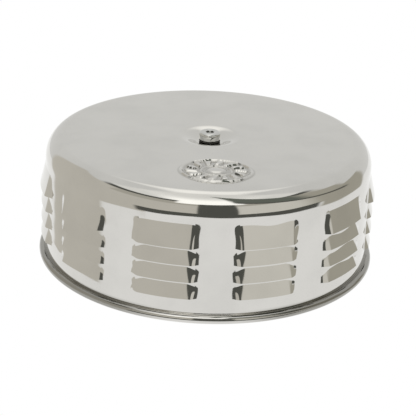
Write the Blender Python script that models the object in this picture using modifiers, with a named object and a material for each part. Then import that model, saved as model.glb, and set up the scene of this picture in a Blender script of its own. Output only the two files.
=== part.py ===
"""Louvred pancake air filter for a motorcycle carburettor.

A pressed steel cover with eleven groups of four louvres sits over a replaceable
pleated element. One central screw holds the cover to a bracket on the base plate,
and two bolts through the base plate hold the filter to the carburettor's flange.

Units are metres and +Z is up. The origin is the centre of the plane that the cover's
rolled rim rests on. Azimuths are measured about +Z from -Y towards +X.
"""

from math import asin, cos, degrees, hypot, pi, radians, sin, tau

import bmesh
import bpy
from mathutils import Matrix, Vector

MM = 0.001
GAP = 0.3 * MM

# Cover: a drawn sheet-steel drum with a rolled rim
SHEET = 0.8 * MM
COVER_HEIGHT = 48.0 * MM
WALL_RADIUS_TOP = 63.5 * MM
WALL_RADIUS_FOOT = 64.2 * MM
LID_CORNER_RADIUS = 6.0 * MM
RIM_BEAD_RADIUS = 1.7 * MM
DIMPLE_RADIUS = 12.0 * MM
DIMPLE_DEPTH = 2.3 * MM
DIMPLE_FLOOR_RADIUS = 5.2 * MM
SCREW_HOLE_RADIUS = 2.85 * MM
COVER_STEPS = 55

# Louvres: lanced and pressed outward, each open along its lower edge
PANEL_COUNT = 11
LOUVRES_PER_PANEL = 4
FIRST_PANEL_AZIMUTH = radians(-12.6)
LOUVRE_HALF_ANGLE = radians(11.7)
LOUVRE_CHEEK_ANGLE = radians(3.3)
LOUVRE_PITCH = 6.5 * MM
LOUVRE_HEIGHT = 5.6 * MM
TOP_LOUVRE_EXTRA_HEIGHT = 2.8 * MM
LOUVRE_REACH = 1.7 * MM
TOP_LOUVRE_FOLD = 34.6 * MM

# Base plate: a pressed dish turned down at the rim
BASE_TOP = 8.0 * MM
BASE_SHEET = 1.0 * MM
BASE_RADIUS = 62.9 * MM
BASE_CORNER_RADIUS = 2.5 * MM
INLET_HOLE_RADIUS = 21.3 * MM

# Inlet trumpet, swaged into the base plate
THROAT_RADIUS = 19.5 * MM
TRUMPET_TUBE_RADIUS = 21.0 * MM
TRUMPET_MOUTH_RADIUS = 22.6 * MM
TRUMPET_TOP = 14.0 * MM
TRUMPET_NECK = 10.4 * MM
TRUMPET_LIP_ROLL = 0.9 * MM
TRUMPET_WALL = 1.0 * MM
COLLAR_RADIUS = 22.6 * MM
COLLAR_THICKNESS = 1.0 * MM
SWAGE_RADIUS = 22.4 * MM
SWAGE_THICKNESS = 0.8 * MM
EDGE_CHAMFER = 0.2 * MM

# Carburettor flange: two M6 bolts and a gasket
BOLT_OFFSET = 29.0 * MM
BOLT_RADIUS = 2.95 * MM
BOLT_HOLE_RADIUS = 3.3 * MM
BOLT_HEAD_ACROSS_FLATS = 10.0 * MM
BOLT_HEAD_HEIGHT = 4.0 * MM
BOLT_TIP = 1.2 * MM
WASHER_THICKNESS = 1.2 * MM
WASHER_RADIUS = 6.0 * MM
SPRING_WASHER_THICKNESS = 1.5 * MM
SPRING_WASHER_RADIUS = 5.5 * MM
SPRING_WASHER_SLIT = 0.8 * MM
GASKET_THICKNESS = 1.0 * MM
GASKET_RADIUS = 28.0 * MM
GASKET_LOBE_RADIUS = 8.5 * MM
GASKET_HOLE_RADIUS = 23.0 * MM

# Cover bracket: a riveted strap with a weld nut under its top
BRACKET_SHEET = 1.6 * MM
BRACKET_WIDTH = 14.0 * MM
BRACKET_FOOT_END = 34.6 * MM
BRACKET_FOOT_BEND = 27.0 * MM
BRACKET_TOP_BEND = 11.0 * MM
BRACKET_BEND_RADIUS = 3.0 * MM
RIVET_X = 31.3 * MM
RIVET_Y = 3.9 * MM
RIVET_RADIUS = 1.5 * MM
RIVET_HEAD_RADIUS = 2.6 * MM
RIVET_HEAD_HEIGHT = 1.3 * MM
RIVET_TAIL_HEIGHT = 0.9 * MM
NUT_ACROSS_FLATS = 8.0 * MM
NUT_HEIGHT = 4.0 * MM

# Cover screw: M5 low cap head with a hexagon socket, and its sealing washer
SCREW_RADIUS = 2.45 * MM
SCREW_HEAD_RADIUS = 4.25 * MM
SCREW_HEAD_HEIGHT = 2.9 * MM
SCREW_SOCKET_ACROSS_FLATS = 3.0 * MM
SCREW_SOCKET_DEPTH = 1.7 * MM
SCREW_TIP = 35.0 * MM
SCREW_TIP_CHAMFER = 0.6 * MM
SCREW_ROUND_OVER = 1.1 * MM
SEALING_WASHER_THICKNESS = 0.6 * MM
SEALING_WASHER_RADIUS = 4.15 * MM
SCREW_GAP = 0.2 * MM

# Filter element: pleated paper between a perforated tube and wire gauze
SEAL_THICKNESS = 2.5 * MM
SEAL_INNER_RADIUS = 39.0 * MM
SEAL_OUTER_RADIUS = 53.0 * MM
CAP_SHEET = 0.6 * MM
CAP_INNER_RADIUS = 35.4 * MM
CAP_OUTER_RADIUS = 56.4 * MM
CAP_RIM = 3.0 * MM
TUBE_RADIUS = 36.4 * MM
GAUZE_RADIUS = 55.3 * MM
LINER_THICKNESS = 0.8 * MM
PLEAT_COUNT = 56
PLEAT_TIP_RADIUS = 54.0 * MM
PLEAT_ROOT_RADIUS = 38.4 * MM
PAPER_THICKNESS = 0.7 * MM

RING_STEPS = 40
TRUMPET_STEPS = 32
SMALL_STEPS = 16

DIMPLE_FLOOR = COVER_HEIGHT - DIMPLE_DEPTH
LID_UNDERSIDE = COVER_HEIGHT - SHEET
BASE_UNDERSIDE = BASE_TOP - BASE_SHEET
GASKET_TOP = BASE_UNDERSIDE - GAP
BRACKET_TOP = DIMPLE_FLOOR - SHEET - GAP
LOWER_SEAL_BOTTOM = BASE_TOP + GAP
LOWER_CAP_BOTTOM = LOWER_SEAL_BOTTOM + SEAL_THICKNESS + GAP
UPPER_SEAL_BOTTOM = LID_UNDERSIDE - GAP - SEAL_THICKNESS
UPPER_CAP_TOP = UPPER_SEAL_BOTTOM - GAP
PACK_BOTTOM = LOWER_CAP_BOTTOM + CAP_SHEET + GAP
PACK_TOP = UPPER_CAP_TOP - CAP_SHEET - GAP

STEEL = ("polished_steel", (0.78, 0.77, 0.74), 0.12, 1.0)
ZINC = ("zinc_plated_steel", (0.66, 0.67, 0.66), 0.35, 1.0)
ALUMINIUM = ("spun_aluminium", (0.80, 0.80, 0.80), 0.30, 1.0)
RUBBER = ("black_rubber", (0.03, 0.03, 0.03), 0.75, 0.0)
FIBRE = ("gasket_fibre", (0.30, 0.24, 0.17), 0.85, 0.0)
PAPER = ("filter_paper", (0.80, 0.66, 0.36), 0.90, 0.0)


def clear_scene():
    for obj in list(bpy.data.objects):
        bpy.data.objects.remove(obj, do_unlink=True)


def new_collection(name, hidden=False):
    collection = bpy.data.collections.new(name)
    collection.hide_render = hidden
    bpy.context.scene.collection.children.link(collection)
    return collection


def material(piece, finish):
    """A Principled material of the finish, for one piece."""
    kind, colour, roughness, metallic = finish
    made = bpy.data.materials.new(f"{piece}_{kind}")
    made.use_nodes = True
    shader = made.node_tree.nodes["Principled BSDF"]
    shader.inputs["Base Color"].default_value = (*colour, 1.0)
    shader.inputs["Roughness"].default_value = roughness
    shader.inputs["Metallic"].default_value = metallic
    made.diffuse_color = (*colour, 1.0)
    return made


def place(name, mesh, finish=None):
    """A new object of the mesh: a piece where a finish is given, otherwise a cutter."""
    obj = bpy.data.objects.new(name, mesh)
    if finish:
        PIECES.objects.link(obj)
        mesh.materials.append(material(name, finish))
    else:
        CUTTERS.objects.link(obj)
        obj.hide_render = True
        obj.display_type = "WIRE"
    return obj


def mesh_of(name, shape):
    mesh = bpy.data.meshes.new(name)
    shape.to_mesh(mesh)
    shape.free()
    return mesh


def smooth(obj, degrees=35):
    obj.data.shade_smooth()
    obj.data.set_sharp_from_angle(angle=radians(degrees))


def arc(centre, radius, start, end, steps):
    """Points of an arc in the (radius, height) plane, angles in degrees from +X."""
    turns = [radians(start + (end - start) * i / steps) for i in range(steps + 1)]
    return [(centre[0] + radius * cos(a), centre[1] + radius * sin(a)) for a in turns]


def turned(name, profile, finish=None, steps=RING_STEPS, closed=True):
    """A profile of (radius, height) points turned about Z with a Screw modifier.

    The points run down the outer side. A closed profile makes a ring, and an open one
    starts and ends on the axis.
    """
    mesh = bpy.data.meshes.new(name)
    count = len(profile)
    edges = [(i, (i + 1) % count) for i in range(count if closed else count - 1)]
    mesh.from_pydata([(r, 0.0, z) for r, z in profile], edges, [])
    obj = place(name, mesh, finish)
    screw = obj.modifiers.new("Turn", "SCREW")
    screw.axis = "Z"
    screw.steps = steps
    screw.render_steps = steps
    screw.use_merge_vertices = True
    screw.merge_threshold = 1e-6
    screw.use_smooth_shade = True
    return obj


def ring(name, inner, outer, bottom, top, finish, steps=RING_STEPS):
    """A flat ring of rectangular section."""
    return turned(name, [(outer, top), (outer, bottom), (inner, bottom), (inner, top)], finish, steps)


def cylinders(name, centres, radius, bottom, top, steps=SMALL_STEPS, finish=None):
    """Upright prisms of one radius, as separate bodies in one mesh."""
    shape = bmesh.new()
    for x, y in centres:
        middle = Matrix.Translation((x, y, (bottom + top) / 2))
        bmesh.ops.create_cone(
            shape, cap_ends=True, segments=steps, radius1=radius, radius2=radius,
            depth=top - bottom, matrix=middle,
        )
    return place(name, mesh_of(name, shape), finish)


def hexagons(name, centres, across_flats, bottom, top, finish=None):
    return cylinders(name, centres, across_flats / 2 / cos(pi / 6), bottom, top, 6, finish)


def boolean(obj, operation, other):
    """Applies a join or a cut, so that the next one works on plain meshes."""
    modifier = obj.modifiers.new(operation.title(), "BOOLEAN")
    modifier.operation = operation
    modifier.object = other
    modifier.solver = "EXACT"
    graph = bpy.context.evaluated_depsgraph_get()
    mesh = bpy.data.meshes.new_from_object(obj.evaluated_get(graph))
    obj.modifiers.clear()
    obj.data = mesh
    bpy.data.objects.remove(other, do_unlink=True)


def loft(shape, sections):
    """Joins closed sections of as many points each, and caps both ends."""
    rows = [[shape.verts.new(point) for point in section] for section in sections]
    for near, far in zip(rows, rows[1:]):
        for i in range(len(near)):
            j = (i + 1) % len(near)
            shape.faces.new((near[i], near[j], far[j], far[i]))
    shape.faces.new(reversed(rows[0]))
    shape.faces.new(rows[-1])


def at_azimuth(radius, height, azimuth):
    return Vector((radius * sin(azimuth), -radius * cos(azimuth), height))


def wall_radius(height):
    """The cover wall's outer radius, which tapers evenly from its foot to the lid corner."""
    foot = 2 * RIM_BEAD_RADIUS
    top = COVER_HEIGHT - LID_CORNER_RADIUS
    share = (height - foot) / (top - foot)
    return WALL_RADIUS_FOOT + (WALL_RADIUS_TOP - WALL_RADIUS_FOOT) * share


def louvre_wedges(name, inset, reach, depth_inside, below):
    """Every louvre's wedge: a fold at the top, leaning out to the lip at the bottom.

    inset draws the wedge in from the hood's outer skin, on its ends and its fold.
    depth_inside is how far its back reaches behind the wall's outer skin, and below
    is how far it runs past the lip.
    """
    shape = bmesh.new()
    inset_angle = inset / WALL_RADIUS_TOP
    end = LOUVRE_HALF_ANGLE - inset_angle
    full = LOUVRE_HALF_ANGLE - LOUVRE_CHEEK_ANGLE - inset_angle
    columns = [(-end, 0.0), (-full, 1.0), (-full / 3, 1.0), (full / 3, 1.0), (full, 1.0), (end, 0.0)]
    for panel in range(PANEL_COUNT):
        middle = FIRST_PANEL_AZIMUTH + panel * tau / PANEL_COUNT
        for row in range(LOUVRES_PER_PANEL):
            fold = TOP_LOUVRE_FOLD - row * LOUVRE_PITCH
            lip = fold - LOUVRE_HEIGHT
            crest = fold - inset + (0.0 if row else TOP_LOUVRE_EXTRA_HEIGHT)
            sections = []
            for offset, share in columns:
                front = wall_radius(lip) + share * reach - (1 - share) * depth_inside / 2
                back = wall_radius(lip) - depth_inside
                section = [
                    (back, crest),
                    (back, lip - below),
                    (front, lip - below),
                    (front, lip),
                ]
                sections.append([at_azimuth(r, z, middle + offset) for r, z in section])
            loft(shape, sections)
    bmesh.ops.remove_doubles(shape, verts=shape.verts, dist=1e-7)
    bmesh.ops.dissolve_degenerate(shape, edges=shape.edges, dist=1e-7)
    bmesh.ops.recalc_face_normals(shape, faces=shape.faces)
    return place(name, mesh_of(name, shape))


def louvred_cover():
    bead = (WALL_RADIUS_FOOT + RIM_BEAD_RADIUS - SHEET, RIM_BEAD_RADIUS)
    corner = (WALL_RADIUS_TOP - LID_CORNER_RADIUS, COVER_HEIGHT - LID_CORNER_RADIUS)
    slope = (DIMPLE_RADIUS - DIMPLE_FLOOR_RADIUS) / 3
    dimple = [
        (SCREW_HOLE_RADIUS, DIMPLE_FLOOR),
        (DIMPLE_FLOOR_RADIUS, DIMPLE_FLOOR),
        (DIMPLE_FLOOR_RADIUS + slope, DIMPLE_FLOOR + 0.35 * DIMPLE_DEPTH),
        (DIMPLE_RADIUS - slope, COVER_HEIGHT - 0.18 * DIMPLE_DEPTH),
        (DIMPLE_RADIUS, COVER_HEIGHT),
    ]
    outside = dimple + arc(corner, LID_CORNER_RADIUS, 90, 0, 4)
    outside += [(WALL_RADIUS_FOOT, 2 * RIM_BEAD_RADIUS)]
    outside += arc(bead, RIM_BEAD_RADIUS, 75, -120, 6)
    inside = [(WALL_RADIUS_FOOT - SHEET, RIM_BEAD_RADIUS)]
    inside += arc(corner, LID_CORNER_RADIUS - SHEET, 0, 90, 3)
    inside += [(r, z - SHEET) for r, z in reversed(dimple)]
    cover = turned("louvred_cover", outside + inside, STEEL, COVER_STEPS)
    boolean(cover, "UNION", louvre_wedges("hood_bodies", 0.0, LOUVRE_REACH, SHEET / 2, 0.0))
    hollows = louvre_wedges("hood_hollows", SHEET, LOUVRE_REACH - SHEET, 3 * SHEET, SHEET / 2)
    boolean(cover, "DIFFERENCE", hollows)
    smooth(cover, 30)


def base_plate():
    bend = BASE_RADIUS - BASE_CORNER_RADIUS
    centre = (bend, BASE_TOP - BASE_CORNER_RADIUS)
    profile = [(INLET_HOLE_RADIUS, BASE_TOP)]
    profile += arc(centre, BASE_CORNER_RADIUS, 90, 0, 3)
    profile += [(BASE_RADIUS, 0.0), (BASE_RADIUS - BASE_SHEET, 0.0)]
    profile += arc(centre, BASE_CORNER_RADIUS - BASE_SHEET, 0, 90, 2)
    profile += [(INLET_HOLE_RADIUS, BASE_UNDERSIDE)]
    plate = turned("base_plate", profile, ZINC, COVER_STEPS)
    ends = (BASE_UNDERSIDE - SHEET, BASE_TOP + SHEET)
    boolean(plate, "DIFFERENCE", cylinders("bolt_holes", BOLT_CENTRES, BOLT_HOLE_RADIUS, *ends))
    holes = cylinders("rivet_holes", RIVET_CENTRES, RIVET_RADIUS + GAP, *ends, steps=10)
    boolean(plate, "DIFFERENCE", holes)
    smooth(plate)


def inlet_trumpet():
    """A spun trumpet, with a collar on the plate and a lip swaged out below it."""
    collar = BASE_TOP + GAP
    collar_top = collar + COLLAR_THICKNESS
    lip = BASE_UNDERSIDE - GAP
    mouth = lip - SWAGE_THICKNESS
    flare = TRUMPET_MOUTH_RADIUS - TRUMPET_TUBE_RADIUS
    inner_flare = TRUMPET_MOUTH_RADIUS - TRUMPET_WALL / 2 - THROAT_RADIUS
    rise = TRUMPET_TOP - TRUMPET_NECK
    outer_rise = rise - TRUMPET_LIP_ROLL
    outside = [
        (TRUMPET_TUBE_RADIUS + flare * (1 - cos(a)), TRUMPET_NECK + outer_rise * sin(a))
        for a in (radians(90), radians(60), radians(30), 0.0)
    ]
    outside += [
        (TRUMPET_TUBE_RADIUS, collar_top),
        (COLLAR_RADIUS, collar_top - EDGE_CHAMFER),
        (COLLAR_RADIUS, collar),
        (TRUMPET_TUBE_RADIUS, collar),
        (TRUMPET_TUBE_RADIUS, lip),
        (SWAGE_RADIUS, lip),
        (SWAGE_RADIUS - EDGE_CHAMFER, mouth),
        (THROAT_RADIUS + EDGE_CHAMFER, mouth),
        (THROAT_RADIUS, mouth + EDGE_CHAMFER),
    ]
    inside = [
        (THROAT_RADIUS + inner_flare * (1 - cos(a)), TRUMPET_NECK + rise * sin(a))
        for a in (0.0, radians(30), radians(60), radians(90))
    ]
    turned("inlet_trumpet", outside + inside, ALUMINIUM, TRUMPET_STEPS)


def flange_gasket():
    """A flat oval gasket: a disc with a lobe at each bolt, cut from sheet."""
    lean = (GASKET_RADIUS - GASKET_LOBE_RADIUS) / BOLT_OFFSET
    tangent = degrees(asin(lean))
    side = arc((0.0, 0.0), GASKET_RADIUS, -tangent, tangent, 10)
    lobe = arc((0.0, BOLT_OFFSET), GASKET_LOBE_RADIUS, tangent, 180 - tangent, 8)
    outline = side + lobe
    outline += [(-x, -y) for x, y in outline]
    hole = arc((0.0, 0.0), GASKET_HOLE_RADIUS, 0, 360, RING_STEPS)[:-1]
    curve = bpy.data.curves.new("flange_gasket", "CURVE")
    curve.dimensions = "2D"
    curve.fill_mode = "BOTH"
    curve.extrude = GASKET_THICKNESS / 2
    for loop in (outline, hole):
        spline = curve.splines.new("POLY")
        spline.points.add(len(loop) - 1)
        spline.use_cyclic_u = True
        for point, (x, y) in zip(spline.points, loop):
            point.co = (x, y, 0.0, 1.0)
    gasket = curve_to_piece("flange_gasket", curve, GASKET_TOP - GASKET_THICKNESS / 2, FIBRE)
    ends = (GASKET_TOP - 2 * GASKET_THICKNESS, GASKET_TOP + GASKET_THICKNESS)
    holes = cylinders("gasket_bolt_holes", BOLT_CENTRES, BOLT_HOLE_RADIUS, *ends)
    boolean(gasket, "DIFFERENCE", holes)


def curve_to_piece(name, curve, height, finish):
    """The filled curve as a welded mesh, raised to a height."""
    guide = bpy.data.objects.new(name + "_outline", curve)
    CUTTERS.objects.link(guide)
    graph = bpy.context.evaluated_depsgraph_get()
    mesh = bpy.data.meshes.new_from_object(guide.evaluated_get(graph))
    bpy.data.objects.remove(guide, do_unlink=True)
    shape = bmesh.new()
    shape.from_mesh(mesh)
    bmesh.ops.remove_doubles(shape, verts=shape.verts, dist=1e-6)
    bmesh.ops.translate(shape, verts=shape.verts, vec=(0.0, 0.0, height))
    bmesh.ops.recalc_face_normals(shape, faces=shape.faces)
    bpy.data.meshes.remove(mesh)
    return place(name, mesh_of(name, shape), finish)


def flange_fixings(place_name, centre):
    """One flange bolt with its spring washer and plain washer."""
    washer = BASE_TOP + GAP
    spring = washer + WASHER_THICKNESS + GAP
    head = spring + SPRING_WASHER_THICKNESS + GAP
    top = head + BOLT_HEAD_HEIGHT
    name = "flange_bolt_" + place_name
    bolt = hexagons(name, [centre], BOLT_HEAD_ACROSS_FLATS, head, top, ZINC)
    shank = cylinders("shank", [centre], BOLT_RADIUS, BOLT_TIP, head + BOLT_HEAD_HEIGHT / 2)
    boolean(bolt, "UNION", shank)
    smooth(bolt)
    layers = (
        ("flange_washer_", WASHER_RADIUS, washer, WASHER_THICKNESS),
        ("flange_spring_washer_", SPRING_WASHER_RADIUS, spring, SPRING_WASHER_THICKNESS),
    )
    for kind, radius, bottom, thickness in layers:
        ends = (bottom, bottom + thickness)
        disc = cylinders(kind + place_name, [centre], radius, *ends, SMALL_STEPS, ZINC)
        boolean(disc, "DIFFERENCE", cylinders("bore", [centre], BOLT_HOLE_RADIUS, 0.0, top))
        if "spring" in kind:
            boolean(disc, "DIFFERENCE", spring_washer_slit(centre, bottom))
        smooth(disc)


def spring_washer_slit(centre, bottom):
    """A slanted slot through one side of a spring washer."""
    middle = bottom + SPRING_WASHER_THICKNESS / 2
    spot = Matrix.Translation((centre[0] + SPRING_WASHER_RADIUS, centre[1], middle))
    size = Matrix.Diagonal((SPRING_WASHER_RADIUS * 1.2, SPRING_WASHER_SLIT, 5 * MM, 1.0))
    shape = bmesh.new()
    bmesh.ops.create_cube(shape, size=1.0, matrix=spot @ Matrix.Rotation(radians(25), 4, "X") @ size)
    return place("slit", mesh_of("slit", shape))


def bent_path(corners, radius, steps=4):
    """The corner points as a path in the XZ plane, each bend rounded by an arc."""
    path = [corners[0]]
    for before, at, after in zip(corners, corners[1:], corners[2:]):
        to_before = (Vector(before) - Vector(at)).normalized()
        to_after = (Vector(after) - Vector(at)).normalized()
        half = to_before.angle(to_after) / 2
        centre = Vector(at) + (to_before + to_after).normalized() * radius / sin(half)
        start = Vector(at) + to_before * radius * cos(half) / sin(half) - centre
        end = Vector(at) + to_after * radius * cos(half) / sin(half) - centre
        for i in range(steps + 1):
            share = start.lerp(end, i / steps).normalized() * radius
            path.append(tuple(centre + share))
    return path + [corners[-1]]


def cover_bracket():
    """A strap over the inlet, bent from flat bar, with holes for the screw and rivets."""
    foot = BASE_TOP + GAP
    corners = [
        (BRACKET_FOOT_END, foot), (BRACKET_FOOT_BEND, foot),
        (BRACKET_TOP_BEND, BRACKET_TOP - BRACKET_SHEET),
    ]
    corners += [(-x, z) for x, z in reversed(corners)]
    path = bent_path(corners, BRACKET_BEND_RADIUS)
    shape = bmesh.new()
    half = BRACKET_WIDTH / 2
    near = [shape.verts.new((x, -half, z)) for x, z in path]
    far = [shape.verts.new((x, half, z)) for x, z in path]
    for i in range(len(path) - 1):
        shape.faces.new((near[i], near[i + 1], far[i + 1], far[i]))
    bracket = place("cover_bracket", mesh_of("cover_bracket", shape), ZINC)
    wall = bracket.modifiers.new("Sheet", "SOLIDIFY")
    wall.thickness = BRACKET_SHEET
    wall.offset = -1.0
    wall.use_even_offset = True
    ends = (foot - BRACKET_SHEET, foot + 2 * BRACKET_SHEET)
    holes = cylinders("bracket_rivet_holes", RIVET_CENTRES, RIVET_RADIUS + GAP, *ends, steps=10)
    boolean(bracket, "DIFFERENCE", holes)
    ends = (BRACKET_TOP - 3 * BRACKET_SHEET, BRACKET_TOP + BRACKET_SHEET)
    boolean(bracket, "DIFFERENCE", cylinders("screw_hole", [(0, 0)], SCREW_HOLE_RADIUS, *ends))
    smooth(bracket)


def bracket_nut():
    top = BRACKET_TOP - BRACKET_SHEET - GAP
    nut = hexagons("bracket_nut", [(0, 0)], NUT_ACROSS_FLATS, top - NUT_HEIGHT, top, ZINC)
    bore = cylinders("nut_bore", [(0, 0)], SCREW_RADIUS + GAP, top - 2 * NUT_HEIGHT, top + NUT_HEIGHT)
    boolean(nut, "DIFFERENCE", bore)
    smooth(nut)


def bracket_rivet(name, centre):
    """A rivet with a domed head on the bracket's foot and a flat one under the plate."""
    head = BASE_TOP + BRACKET_SHEET + 2 * GAP
    tail = BASE_UNDERSIDE - GAP
    profile = [
        (0.0, head + RIVET_HEAD_HEIGHT),
        (RIVET_HEAD_RADIUS * 0.7, head + RIVET_HEAD_HEIGHT * 0.75),
        (RIVET_HEAD_RADIUS, head),
        (RIVET_RADIUS, head),
        (RIVET_RADIUS, tail),
        (RIVET_HEAD_RADIUS * 0.8, tail),
        (RIVET_HEAD_RADIUS * 0.8, tail - RIVET_TAIL_HEIGHT),
        (0.0, tail - RIVET_TAIL_HEIGHT),
    ]
    rivet = turned(name, profile, ZINC, 12, closed=False)
    rivet.location = (*centre, 0.0)


def cover_screw():
    washer = DIMPLE_FLOOR + SCREW_GAP
    seat = washer + SEALING_WASHER_THICKNESS + SCREW_GAP
    top = seat + SCREW_HEAD_HEIGHT
    corner = (SCREW_HEAD_RADIUS - SCREW_ROUND_OVER, top - SCREW_ROUND_OVER)
    profile = [(0.0, top)] + arc(corner, SCREW_ROUND_OVER, 90, 0, 4)
    profile += [
        (SCREW_HEAD_RADIUS, seat),
        (SCREW_RADIUS, seat),
        (SCREW_RADIUS, SCREW_TIP + SCREW_TIP_CHAMFER),
        (SCREW_RADIUS - SCREW_TIP_CHAMFER, SCREW_TIP),
        (0.0, SCREW_TIP),
    ]
    screw = turned("cover_screw", profile, ZINC, 24, closed=False)
    ends = (top - SCREW_SOCKET_DEPTH, top + SCREW_SOCKET_DEPTH)
    boolean(screw, "DIFFERENCE", hexagons("socket", [(0, 0)], SCREW_SOCKET_ACROSS_FLATS, *ends))
    smooth(screw)
    ring(
        "sealing_washer", SCREW_RADIUS + GAP, SEALING_WASHER_RADIUS, washer,
        washer + SEALING_WASHER_THICKNESS, FIBRE, 24,
    )


def element_caps_and_seals():
    """The element's two channel-shaped end caps, and a seal on the outside of each."""
    for name, bottom in (("lower_seal", LOWER_SEAL_BOTTOM), ("upper_seal", UPPER_SEAL_BOTTOM)):
        ring(name, SEAL_INNER_RADIUS, SEAL_OUTER_RADIUS, bottom, bottom + SEAL_THICKNESS, RUBBER)
    channel = [
        (CAP_OUTER_RADIUS, CAP_RIM),
        (CAP_OUTER_RADIUS, 0.0),
        (CAP_INNER_RADIUS, 0.0),
        (CAP_INNER_RADIUS, CAP_RIM),
        (CAP_INNER_RADIUS + CAP_SHEET, CAP_RIM),
        (CAP_INNER_RADIUS + CAP_SHEET, CAP_SHEET),
        (CAP_OUTER_RADIUS - CAP_SHEET, CAP_SHEET),
        (CAP_OUTER_RADIUS - CAP_SHEET, CAP_RIM),
    ]
    turned("element_lower_cap", [(r, LOWER_CAP_BOTTOM + z) for r, z in channel], ZINC)
    turned("element_upper_cap", [(r, UPPER_CAP_TOP - z) for r, z in reversed(channel)], ZINC)


def pleated_paper():
    """A star-shaped ring of folded paper, extruded between the end caps."""
    curve = bpy.data.curves.new("pleated_paper", "CURVE")
    curve.dimensions = "2D"
    curve.fill_mode = "BOTH"
    curve.extrude = (PACK_TOP - PACK_BOTTOM) / 2
    steepness = pi * (PLEAT_TIP_RADIUS + PLEAT_ROOT_RADIUS) / (2 * PLEAT_COUNT)
    fold = PAPER_THICKNESS * hypot(1.0, (PLEAT_TIP_RADIUS - PLEAT_ROOT_RADIUS) / steepness)
    for shift in (0.0, -fold * 0.5):
        spline = curve.splines.new("POLY")
        spline.points.add(2 * PLEAT_COUNT - 1)
        spline.use_cyclic_u = True
        for i, point in enumerate(spline.points):
            radius = (PLEAT_ROOT_RADIUS if i % 2 else PLEAT_TIP_RADIUS) + shift
            radius = max(radius, TUBE_RADIUS + LINER_THICKNESS + GAP)
            turn = i * pi / PLEAT_COUNT
            point.co = (radius * cos(turn), radius * sin(turn), 0.0, 1.0)
    curve_to_piece("pleated_paper", curve, (PACK_TOP + PACK_BOTTOM) / 2, PAPER)


def element_liners():
    """The perforated tube inside the pleats and the wire gauze outside, drawn as plain tubes."""
    wall = LINER_THICKNESS
    ring("inner_tube", TUBE_RADIUS, TUBE_RADIUS + wall, PACK_BOTTOM, PACK_TOP, ZINC)
    ring("outer_gauze", GAUZE_RADIUS - wall, GAUZE_RADIUS, PACK_BOTTOM, PACK_TOP, ZINC)


clear_scene()
PIECES = new_collection("louvred_air_filter")
CUTTERS = new_collection("cutters", hidden=True)
BOLT_CENTRES = [(0.0, -BOLT_OFFSET), (0.0, BOLT_OFFSET)]
RIVET_CENTRES = [(x, y) for x in (-RIVET_X, RIVET_X) for y in (-RIVET_Y, RIVET_Y)]

louvred_cover()
base_plate()
inlet_trumpet()
flange_gasket()
for side, spot in zip(("front", "rear"), BOLT_CENTRES):
    flange_fixings(side, spot)
cover_bracket()
bracket_nut()
for number, spot in enumerate(RIVET_CENTRES, 1):
    bracket_rivet(f"bracket_rivet_{number}", spot)
cover_screw()
element_caps_and_seals()
pleated_paper()
element_liners()
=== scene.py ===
"""A round pancake air filter: louvred cover, pleated element and flanged base plate."""

from math import cos, pi, radians, sin, tau

import bmesh
import bpy
import numpy as np
from bpy.props import FloatProperty, FloatVectorProperty, IntProperty, PointerProperty
from mathutils import Matrix, Vector


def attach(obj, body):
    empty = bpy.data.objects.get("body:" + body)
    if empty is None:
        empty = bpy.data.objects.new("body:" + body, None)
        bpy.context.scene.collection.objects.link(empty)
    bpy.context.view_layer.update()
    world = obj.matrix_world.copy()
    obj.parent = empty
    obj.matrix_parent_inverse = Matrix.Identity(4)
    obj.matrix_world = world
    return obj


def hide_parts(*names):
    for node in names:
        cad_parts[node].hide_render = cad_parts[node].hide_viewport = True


bl_info = {
    "name": "Pancake Air Filter",
    "version": (1, 0, 0),
    "blender": (4, 5, 0),
    "location": "View3D > Sidebar > Air Filter",
    "description": "Builds a round louvred air filter and the studio that it stands in",
    "category": "Object",
}

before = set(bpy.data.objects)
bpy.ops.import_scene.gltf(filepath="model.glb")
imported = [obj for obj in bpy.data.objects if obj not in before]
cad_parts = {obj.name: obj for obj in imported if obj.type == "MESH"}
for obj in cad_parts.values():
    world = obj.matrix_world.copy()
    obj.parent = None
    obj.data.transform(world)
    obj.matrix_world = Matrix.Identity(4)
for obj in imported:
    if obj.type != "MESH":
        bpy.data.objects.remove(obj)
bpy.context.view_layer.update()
MM = 0.001

# Heights and radii below are in millimetres, on the axis of the cover.
LID_HEIGHT = 48.0
WALL_TOP = (63.5, 42.0)
WALL_FOOT = (64.2, 3.4)
CORNER_FOOT = 40.0
CORNER_AXES = (6.6, 8.0)
SEAM_RADIUS = 56.2
PANELS = 11
PANEL_STEP = tau / PANELS
FIRST_PANEL = radians(-12.6)
PANEL_HALF = radians(11.8)
CHEEK = radians(3.6)
DENTED_PANEL = 1
WAVY_PANEL = 2
LIPS = 29.0 - 6.5 * np.arange(4)
ELEMENT_SPAN = (12.1, 43.1)
PLEAT_ROOTS = 39.0
PLEAT_TIPS = 53.6
BOLT_SPOTS = ((0.0, -29.0), (0.0, 29.0))
RIVET_SPOTS = ((-31.3, -3.9), (-31.3, 3.9), (31.3, -3.9), (31.3, 3.9))


# ---------------------------------------------------------------- surfaces


def smooth_rise(x):
    """0 below 0 and 1 above 1, with level ends: x squared times (3 - 2 x) between."""
    x = np.clip(x, 0.0, 1.0)
    return x * x * (3.0 - 2.0 * x)


def grid_faces(rows, columns, wrap_rows=False, wrap_columns=False, skip=()):
    """Quads between neighbouring rows and columns of a grid, leaving out the bands in skip."""
    row = np.arange(rows if wrap_rows else rows - 1)
    row = row[~np.isin(row, skip)]
    column = np.arange(columns if wrap_columns else columns - 1)
    i, j = np.meshgrid(row, column, indexing="ij")
    below, right = (i + 1) % rows, (j + 1) % columns
    corners = (i * columns + j, below * columns + j, below * columns + right, i * columns + right)
    return np.stack(corners, axis=-1).reshape(-1, 4)


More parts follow.
